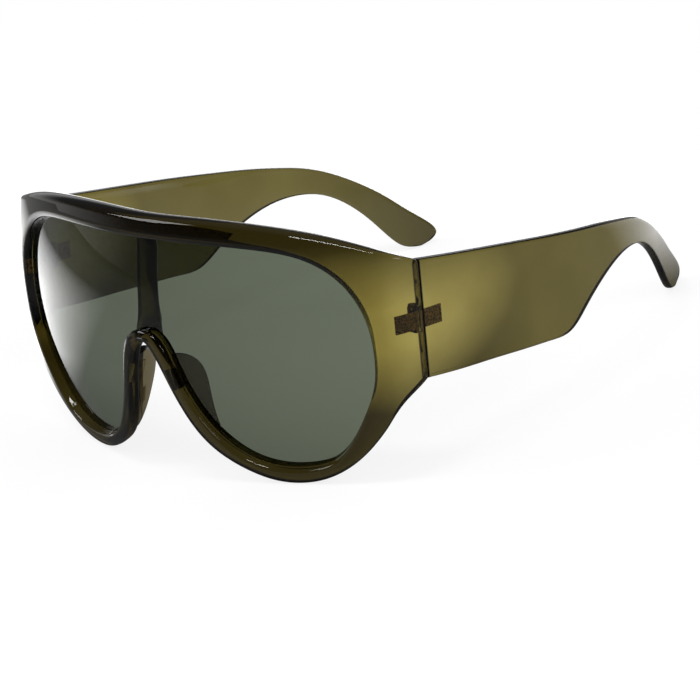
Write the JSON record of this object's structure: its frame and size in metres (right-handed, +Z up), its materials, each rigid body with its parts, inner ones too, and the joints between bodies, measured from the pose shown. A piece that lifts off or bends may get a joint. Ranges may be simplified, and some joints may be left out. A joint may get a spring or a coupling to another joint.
{
  "type": "shield sunglasses",
  "caption": "Wraparound shield sunglasses with a single lens, translucent olive frame, nose pads and wide folding temples.",
  "frame": {"origin": "middle of the box's bottom: on the surface that the sunglasses stand on, half-way between the brow's front and the temple tips", "axes": "+Z up, +X towards the wearer's left, -Y the way the wearer looks; the lobes and temple tips rest on z = 0"},
  "size_m": [0.1466, 0.1518, 0.0708],
  "materials": {
    "frame_plastic": "polished translucent olive",
    "temple_plastic": "polished translucent olive",
    "pad_plastic": "polished translucent olive brown",
    "lens": "polished grey-green tinted",
    "hinge_metal": "bronzed, dull",
    "screw_metal": "dull"
  },
  "bodies": {
    "front": {"front_frame": "frame_plastic", "shield_lens": "lens", "nose_pad_left": "pad_plastic", "nose_pad_right": "pad_plastic", "front_hinge_left": "hinge_metal", "front_hinge_right": "hinge_metal", "hinge_screw_left": "screw_metal", "hinge_screw_right": "screw_metal"},
    "left_temple": {"temple_left": "temple_plastic", "temple_hinge_left": "hinge_metal"},
    "right_temple": {"temple_right": "temple_plastic", "temple_hinge_right": "hinge_metal"}
  },
  "joints": [
    {"name": "left_temple_fold", "type": "hinge", "parent": "front", "child": "left_temple", "pos_m": [0.0683, -0.04345, 0.04032], "axis": [0, 0.15, 0.9887], "range_deg": [0, 83]},
    {"name": "right_temple_fold", "type": "hinge", "parent": "front", "child": "right_temple", "pos_m": [-0.0683, -0.04345, 0.04032], "axis": [0, -0.15, -0.9887], "range_deg": [0, 74]}
  ]
}
